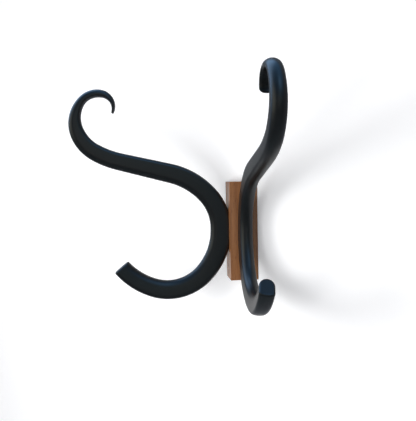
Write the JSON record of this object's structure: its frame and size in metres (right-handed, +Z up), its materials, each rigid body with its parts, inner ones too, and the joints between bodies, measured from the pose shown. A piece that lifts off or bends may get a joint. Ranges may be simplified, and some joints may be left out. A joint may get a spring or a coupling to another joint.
{
  "type": "coat hook",
  "caption": "Satin black S-shaped bentwood hooks set at right angles to each other on a short triangular wooden wall block, for coats, hats and bags.",
  "frame": {"origin": "on the middle line of the block's back, at the height of the middle of the hooks' seats", "axes": "+X to the object's right as seen from the room, +Y into the wall, +Z up"},
  "size_m": [0.2718, 0.1359, 0.2342],
  "materials": {
    "oiled_wood": "oiled brown hardwood with vertical grain",
    "black_lacquer": "satin black lacquer over bent wood",
    "screw_steel": "plain zinc plating"
  },
  "bodies": {
    "root": {"mounting_block": "oiled_wood", "left_hook": "black_lacquer", "right_hook": "black_lacquer", "left_hook_upper_screw": "screw_steel", "left_hook_lower_screw": "screw_steel", "right_hook_upper_screw": "screw_steel", "right_hook_lower_screw": "screw_steel"}
  },
  "joints": []
}
